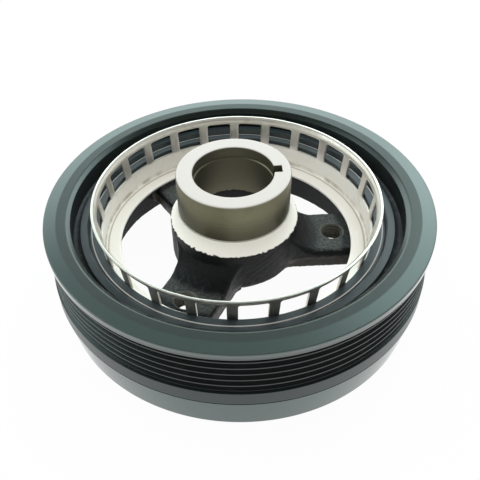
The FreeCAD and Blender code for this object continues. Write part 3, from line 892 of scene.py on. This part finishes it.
class BALANCER_OT_drum(Operator):
    """Drum of the hub: its rounded outline turned about the shaft, rough inside"""
    bl_idname = "balancer.drum"
    bl_label = "Hub drum"

    def execute(self, context):
        size = context.scene.balancer_hub
        corners = [
            (size.drum_mouth, size.drum_front, 0.8 * MM),
            (size.drum_radius, size.drum_front, 0.5 * MM),
            (size.drum_radius, size.lip_height, 0.7 * MM),
            (size.lip_radius, size.lip_height, 0.4 * MM),
            (size.lip_foot_radius + 0.35 * MM, size.ledge_height - size.groove_depth, 0.1 * MM),
            (size.ledge_radius + 0.1 * MM, size.ledge_height - size.groove_depth, 0.1 * MM),
            (size.ledge_radius, size.ledge_height, 0.25 * MM),
            (size.seat_radius, size.ledge_height, 0.2 * MM),
            (size.seat_radius, size.web_back, 0),
            (size.drum_bore, size.web_back, 0.3 * MM),
        ]
        bore = np.linspace((size.drum_bore, size.web_back, 0),
                           (size.drum_mouth, size.drum_front, 0), 20)[1:-1]
        mesh = turned_mesh("drum_mesh", rounded([*corners, *bore]), DRUM_COLUMNS)
        roughen(mesh, grain=1.8 * MM, depth=0.07 * MM, seed=11,
                where=lambda points: (from_shaft(points) < size.drum_mouth + 1 * MM)
                & (points[:, 2] < size.web_back - 1 * MM))
        new_piece("hub_drum", mesh, shared(dipped_drum), "hub_cast", "hub")
        return {"FINISHED"}


def arm_top(size, radius):
    """Height of an arm's back side: flat outside the root, then a hollow arc up to the barrel."""
    start = np.array([size.arm_root, size.web_back])
    end = np.array([size.barrel_radius, size.web_back + size.arm_rise])
    chord = end - start
    span = np.linalg.norm(chord)
    across = np.array([chord[1], -chord[0]]) / span
    centre = (start + end) / 2 + across * math.sqrt(size.arm_sweep ** 2 - span ** 2 / 4)
    inside = np.clip(radius, size.barrel_radius - 1 * MM, size.arm_root)
    hollow = centre[1] - np.sqrt(size.arm_sweep ** 2 - (inside - centre[0]) ** 2)
    return np.where(radius < size.arm_root, hollow, size.web_back)


def arm_width(size, station, foot, fillet):
    """Half width of an arm: straight, flared by arcs to the circle at its foot and to the drum."""
    reach, far = foot + fillet, size.drum_fillet
    near_x = math.sqrt(reach ** 2 - (size.arm_half_width + fillet) ** 2)
    far_x = math.sqrt((size.drum_bore - far) ** 2 - (size.arm_half_width + far) ** 2)
    near_part = np.clip(near_x - station, 0, near_x * fillet / reach)
    far_part = np.clip(station - far_x, 0, far * FLARE_END)
    return (size.arm_half_width + fillet - np.sqrt(fillet ** 2 - near_part ** 2)
            + far - np.sqrt(far ** 2 - far_part ** 2))


def arm_section(size, x):
    """Closed loop across an arm at each station x: its sideways places and its heights.

    The loop runs over the back side, round its edge by a quarter circle, down the right flank,
    round the lower edge, along the underside and up the left flank.
    """
    half = arm_width(size, x, size.barrel_radius, size.arm_fillet)
    low_half = arm_width(size, x, size.web_radius, size.web_fillet)
    soft, foot, floor = size.arm_edge, size.arm_foot, size.web_front
    flat, under = half - soft, half - foot
    across = np.linspace(1, -1, ARM_COLUMNS)
    bend = np.linspace(0, np.pi / 2, BEND_STEPS + 1)[1:]
    down = np.linspace(0, 1, FLANK_STEPS + 1)[1:]
    edge = arm_top(size, np.hypot(x, flat))
    drop = edge - soft - floor - foot
    stretches = (
        (flat * across, arm_top(size, np.hypot(x, flat * across))),
        (-flat - soft * np.sin(bend), edge - soft * (1 - np.cos(bend))),
        (-half + 0 * down, edge - soft - drop * down),
        (-under - foot * np.cos(bend), floor + foot - foot * np.sin(bend)),
        (-under * across[1:], floor),
        (under + foot * np.sin(bend), floor + foot - foot * np.cos(bend)),
        (half + 0 * down[1:], floor + foot + drop * down[:-1]),
        (flat + soft * np.sin(bend[::-1]), edge - soft * (1 - np.cos(bend[::-1]))),
    )
    y, z = (np.hstack([np.broadcast_arrays(*stretch)[which] for stretch in stretches])
            for which in (0, 1))
    # under the barrel's front end the arm flares to the smaller disc instead
    sunk = np.clip((size.barrel_front - z) / soft + 1, 0, 1)
    return y * (1 + sunk * (low_half / half - 1)), z


def press_round(size, x, y, rings):
    """Presses the rings of squares round a tapped hole's middle out to the circle of its mouth.

    Ring n lands the share (n - HOLE_RING) / (EDGE_RING - HOLE_RING) of the way from that circle
    to the last ring, on the line from the middle.
    """
    near = (rings >= HOLE_RING) & (rings < EDGE_RING)
    share = (rings[near] - HOLE_RING) / (EDGE_RING - HOLE_RING)
    out = np.array([x[near] - size.hole_circle, y[near]])
    circle = size.hole_mouth * out / np.hypot(*out)
    pressed = (1 - share) * circle + share * out * EDGE_RING / rings[near]
    x[near], y[near] = pressed[0] + size.hole_circle, pressed[1]


def tapped_hole(size, bearing):
    """Wall of a tapped hole down each bearing from its middle.

    The radius is the crest's plus the thread's triangle wave, which starts one pitch lower after
    each turn, and never less than the countersink's cone.
    """
    depth = np.linspace(size.web_back, size.web_front, 61)[:, None]
    tooth = abs(2 * ((depth / size.thread_pitch + bearing / 2 / np.pi) % 1) - 1)
    cone = size.hole_mouth - np.minimum(size.web_back - depth, depth - size.web_front)
    wall = np.maximum(size.hole_radius + size.thread_depth * tooth, cone)
    wall[[0, -1]] = size.hole_mouth
    return np.stack([size.hole_circle + wall * np.cos(bearing), wall * np.sin(bearing),
                     depth + 0 * wall], axis=-1)


class BALANCER_OT_arms(Operator):
    """Three arms: a rounded cross-section carried out along each arm, with a tapped hole"""
    bl_idname = "balancer.arms"
    bl_label = "Hub arms"

    def execute(self, context):
        size = context.scene.balancer_hub
        down = np.arange(ARM_ROWS)[:, None] - HOLE_ROW
        station = size.hole_circle + ARM_STEP * down
        y, z = arm_section(size, station)
        x = station + 0 * y
        rows, columns = y.shape
        middle = ARM_COLUMNS // 2
        under = ARM_COLUMNS + 2 * BEND_STEPS + FLANK_STEPS
        in_hole = np.zeros(y.shape, bool)
        for first, last, centre in ((0, ARM_COLUMNS, middle),
                                    (under, under + ARM_COLUMNS - 1, under + middle - 1)):
            side = slice(first, last)
            rings = np.maximum(abs(down), abs(np.arange(first, last) - centre))
            press_round(size, x[:, side], y[:, side], rings)
            in_hole[:, side] |= rings <= HOLE_RING
        faces = grid_faces(rows, columns, False, True)
        faces = faces[~in_hole.ravel()[faces].all(axis=1)]
        square = (slice(HOLE_ROW - HOLE_RING, HOLE_ROW + HOLE_RING + 1),
                  slice(middle - HOLE_RING, middle + HOLE_RING + 1))
        ways = np.arctan2(y[square], x[square] - size.hole_circle)
        bearing = np.concatenate([ways[0, :-1], ways[:-1, -1], ways[-1, :0:-1], ways[:0:-1, 0]])
        thread = tapped_hole(size, bearing)
        thread_faces = grid_faces(*thread.shape[:2], False, True) + x.size
        ends = [range(columns), range(x.size - columns, x.size)]
        points = np.vstack([np.stack([x, y, z], axis=-1).reshape(-1, 3), thread.reshape(-1, 3)])
        faces = [*faces.tolist(), *thread_faces.tolist(), *ends]
        mesh = new_mesh("arm_mesh", *on_each_arm(context, points, faces), weld=True)
        roughen(mesh, grain=1.6 * MM, depth=0.08 * MM, seed=21, where=self.away_from_holes)
        spots = mesh_points(mesh)
        # paint everywhere but in the holes, where the steel is bare on the thread's crests; towards the
        # roots more paint colour is left, as painted shade
        countersink, root = 0.6, 0.2
        crest = 1 - (self.from_hole(spots) - size.hole_radius) / size.thread_depth
        bright = np.where(crest < 0, countersink, root + (1 - root) * crest)
        bare = np.where(self.away_from_holes(spots) > 0, 0, bright)
        mesh.attributes.new("bare", "FLOAT", "POINT").data.foreach_set("value", bare)
        new_piece("hub_arms", mesh, shared(black_casting), "hub_cast", "hub")
        return {"FINISHED"}

    def from_hole(self, points):
        """Distance of points from the line through the nearest tapped hole."""
        size = bpy.context.scene.balancer_hub
        turns = 2 * np.pi / size.arm_count * np.arange(size.arm_count)
        middles = size.hole_circle * np.stack([np.cos(turns), np.sin(turns)], axis=1)
        return np.linalg.norm(points[:, None, :2] - middles[None], axis=2).min(axis=1)

    def away_from_holes(self, points):
        """0 within a tapped hole's mouth, 1 further off."""
        mouth = bpy.context.scene.balancer_hub.hole_mouth
        return np.clip((self.from_hole(points) - mouth - 0.2 * MM) / (1 * MM), 0, 1)


def barrel_columns():
    """Angles of the barrel's columns: close together over the keyway, then evenly round the rest."""
    slot = np.interp(np.arange(KEY_CORNERS[-1] + 1), KEY_CORNERS, KEY_ANGLES)
    rest = np.linspace(KEY_ANGLES[-1], 2 * np.pi - KEY_ANGLES[-1], BORE_STEPS + 1)[1:-1]
    return np.concatenate([slot, rest])


def keyed_bore(size, radius, height):
    """Row of the bore: straight lines through the keyway's four corners, then the circle's arc."""
    half = size.key_width / 2
    mouth, edge = math.sqrt(radius ** 2 - half ** 2), math.asin(half / radius)
    columns = np.arange(KEY_CORNERS[-1] + 1)
    x_slot = np.interp(columns, KEY_CORNERS, (mouth, size.key_reach, size.key_reach, mouth))
    y_slot = np.interp(columns, KEY_CORNERS, (-half, -half, half, half))
    swing = np.linspace(edge, 2 * np.pi - edge, BORE_STEPS + 1)[1:-1]
    return np.stack(np.broadcast_arrays(np.concatenate([x_slot, radius * np.cos(swing)]),
                                        np.concatenate([y_slot, radius * np.sin(swing)]),
                                        height), axis=-1)


class BALANCER_OT_barrel(Operator):
    """Nose, collar and barrel: circles outside and the keyed bore's contour inside, on one grid"""
    bl_idname = "balancer.barrel"
    bl_label = "Hub barrel and nose"

    def execute(self, context):
        size = context.scene.balancer_hub
        undercut = size.nose_foot - 0.6 * MM
        cast_top = size.collar_foot - 0.6 * MM
        collar = arc_between((size.collar_radius, size.collar_height),
                             (size.nose_radius + 0.4 * MM, undercut), size.collar_sweep, 14)
        barrel_wall = np.linspace(size.barrel_front + 3 * MM, size.collar_foot - 1 * MM, 30)
        outside = rounded([
            (size.bolt_seat_radius, size.seat_height, 0),
            (size.bolt_seat_radius, size.web_front, 0.4 * MM),
            (size.web_radius, size.web_front, 0.5 * MM),
            (size.web_radius, size.barrel_front, 0),
            (size.barrel_radius, size.barrel_front, 2.4 * MM),
            *[(size.barrel_radius, height, 0) for height in barrel_wall],
            (size.barrel_radius, size.collar_foot, 0.2 * MM),
            (size.collar_radius, size.collar_height, 0.1 * MM),
            *[(radius, height, 0) for radius, height in collar],
            (size.nose_radius + 0.4 * MM, undercut, 0),
            (size.nose_radius - 0.35 * MM, undercut, 0),
            (size.nose_radius - 0.35 * MM, size.nose_foot, 0),
            (size.nose_radius, size.nose_foot, 0),
            (size.nose_radius, size.nose_height, 0.8 * MM),
            (size.mouth_radius + 2 * MM, size.nose_height, 0),
        ])[:-1]
        relief = size.nose_height - size.mouth_depth
        bore = (
            (size.mouth_radius + 0.3 * MM, size.nose_height),
            (size.mouth_radius, size.nose_height - 0.3 * MM),
            (size.mouth_radius, relief),
            (size.bore_radius, relief - 0.4 * MM),
            (size.bore_radius, relief - 0.8 * MM),
            (size.bore_radius, size.seat_height + 0.3 * MM),
            (size.bore_radius + 0.3 * MM, size.seat_height),
        )
        turn = barrel_columns()
        circles = np.stack(np.broadcast_arrays(outside[:, :1] * np.cos(turn),
                                               outside[:, :1] * np.sin(turn),
                                               outside[:, 1:]), axis=-1)
        points = np.concatenate([circles, [keyed_bore(size, *row) for row in bore]])
        mesh = new_mesh("barrel_mesh", points, grid_faces(*points.shape[:2], True, True))
        roughen(mesh, grain=1.6 * MM, depth=0.06 * MM, seed=31,
                where=lambda points: np.clip((cast_top - points[:, 2]) / (1 * MM), 0, 1)
                * (from_shaft(points) > size.bolt_seat_radius + 1 * MM))
        new_piece("hub_barrel", mesh, shared(turned_iron), "hub_cast", "hub")
        return {"FINISHED"}


def seen_directly(tree):
    """Share of camera rays, and that of camera, mirror and see-through rays together."""
    path = node(tree, "LightPath")
    camera = path.outputs["Is Camera Ray"]
    return camera, either(tree, camera, path.outputs["Is Glossy Ray"],
                          path.outputs["Is Transmission Ray"])


def pale_floor(settings):
    """Matt white sweep: seen directly or in a reflection it mostly glows, so its shadow is faint."""
    material = bpy.data.materials.new("matt white sweep")
    tree = empty_tree(material)
    _, seen = seen_directly(tree)
    matt = node(tree, "BsdfDiffuse", {"Color": (0.8, 0.8, 0.8, 1.0)})
    glow = node(tree, "Emission", {"Color": (1.0, 1.0, 1.0, 1.0)})
    mixed = node(tree, "MixShader", {0: both(tree, seen, settings.backdrop),
                                     1: matt.outputs[0], 2: glow.outputs[0]})
    node(tree, "OutputMaterial", {"Surface": mixed.outputs[0]})
    return material


def even_sky(settings):
    """World: white to the eye, even light on matt surfaces, dark towards the zenith in mirrors."""
    world = bpy.data.worlds.new("even sky")
    tree = empty_tree(world)
    camera, seen = seen_directly(tree)
    way = node(tree, "SeparateXYZ", {0: node(tree, "TexCoord").outputs["Generated"]})
    high = node(tree, "MapRange", {"Value": way.outputs[2], "From Min": 0.35, "From Max": 0.7,
                                   "To Min": 1.0, "To Max": settings.ceiling})
    mirrored = node(tree, "Mix", {"Factor": camera, "A": high.outputs[0], "B": 1.0})
    strength = node(tree, "Mix", {"Factor": seen, "A": settings.sky, "B": mirrored.outputs[0]})
    sky = node(tree, "Background", {"Color": (1.0, 1.0, 1.0, 1.0),
                                    "Strength": strength.outputs[0]})
    node(tree, "OutputWorld", {"Surface": sky.outputs[0]})
    return world


class BALANCER_OT_stage(Operator):
    """Floor, even sky, soft lamps and the camera at the photograph's viewpoint"""
    bl_idname = "balancer.stage"
    bl_label = "Stage"

    def execute(self, context):
        scene = context.scene
        settings = scene.balancer_stage
        reach = 4.0
        turn = np.linspace(0, 2 * np.pi, 64, endpoint=False)
        low = CAD_BOX[0][2]
        edge = np.stack([reach * np.cos(turn), reach * np.sin(turn), low + 0 * turn], axis=1)
        mesh = bpy.data.meshes.new("floor_mesh")
        mesh.from_pydata(edge, [], [list(range(len(turn)))])
        mesh.materials.append(pale_floor(settings))
        floor = bpy.data.objects.new("floor", mesh)
        scene.collection.objects.link(floor)
        scene.world = even_sky(settings)
        # name, place, size in metres and power in watts
        lamps = (
            ("back softbox", (0.0, 0.88, 0.47), (1.7, 0.55), 7.5),
            ("left softbox", (-0.8, 0.2, 0.7), (0.6, 0.6), 2.6),
            ("right softbox", (0.6, 0.62, 0.84), (0.6, 0.6), 3.8),
        )
        for name, place, size, power in lamps:
            light = bpy.data.lights.new(name, "AREA")
            light.shape = "RECTANGLE"
            light.size, light.size_y = size
            light.energy = power
            light.color = settings.lamp_tint
            lamp = bpy.data.objects.new(name, light)
            lamp.location = place
            lamp.rotation_mode = "QUATERNION"
            lamp.rotation_quaternion = lamp.location.to_track_quat("Z", "Y")
            scene.collection.objects.link(lamp)
        view = bpy.data.cameras.new("camera")
        view.lens = settings.lens
        view.sensor_width = 36.0
        view.shift_x, view.shift_y = settings.shift
        view.clip_start = 0.01
        camera = bpy.data.objects.new("camera", view)
        camera.location = settings.camera_place
        camera.rotation_euler = settings.camera_turn
        scene.collection.objects.link(camera)
        scene.camera = camera
        scene.view_settings.view_transform = "Standard"
        return {"FINISHED"}


class BALANCER_PT_panel(Panel):
    """Sizes, colours and steps of the balancer"""
    bl_idname = "BALANCER_PT_panel"
    bl_label = "Harmonic balancer"
    bl_space_type = "VIEW_3D"
    bl_region_type = "UI"
    bl_category = "Balancer"

    def draw(self, context):
        for step in STEPS:
            self.layout.operator(step.bl_idname)
        for name, group in GROUPS.items():
            box = self.layout.box()
            for key in group.__annotations__:
                box.prop(getattr(context.scene, name), key)


GROUPS = {
    "balancer_ring": RingSizes,
    "balancer_hub": HubSizes,
    "balancer_interrupter": InterrupterSizes,
    "balancer_finish": Finishes,
    "balancer_stage": StageSettings,
}

STEPS = (
    BALANCER_OT_inertia_ring,
    BALANCER_OT_rubber_ring,
    BALANCER_OT_drum,
    BALANCER_OT_arms,
    BALANCER_OT_barrel,
    BALANCER_OT_interrupter_ring,
    BALANCER_OT_rivets,
    BALANCER_OT_stage,
)


def register():
    for part in (*GROUPS.values(), *STEPS, BALANCER_PT_panel):
        bpy.utils.register_class(part)
    for name, group in GROUPS.items():
        setattr(bpy.types.Scene, name, PointerProperty(type=group))


def unregister():
    for name in GROUPS:
        delattr(bpy.types.Scene, name)
    for part in reversed((*GROUPS.values(), *STEPS, BALANCER_PT_panel)):
        bpy.utils.unregister_class(part)


def main():
    register()
    bpy.ops.balancer.inertia_ring()
    bpy.ops.balancer.rubber_ring()
    bpy.ops.balancer.drum()
    bpy.ops.balancer.arms()
    bpy.ops.balancer.barrel()
    bpy.ops.balancer.interrupter_ring()
    bpy.ops.balancer.rivets()
    bpy.ops.balancer.stage()


if __name__ == "__main__":
    main()
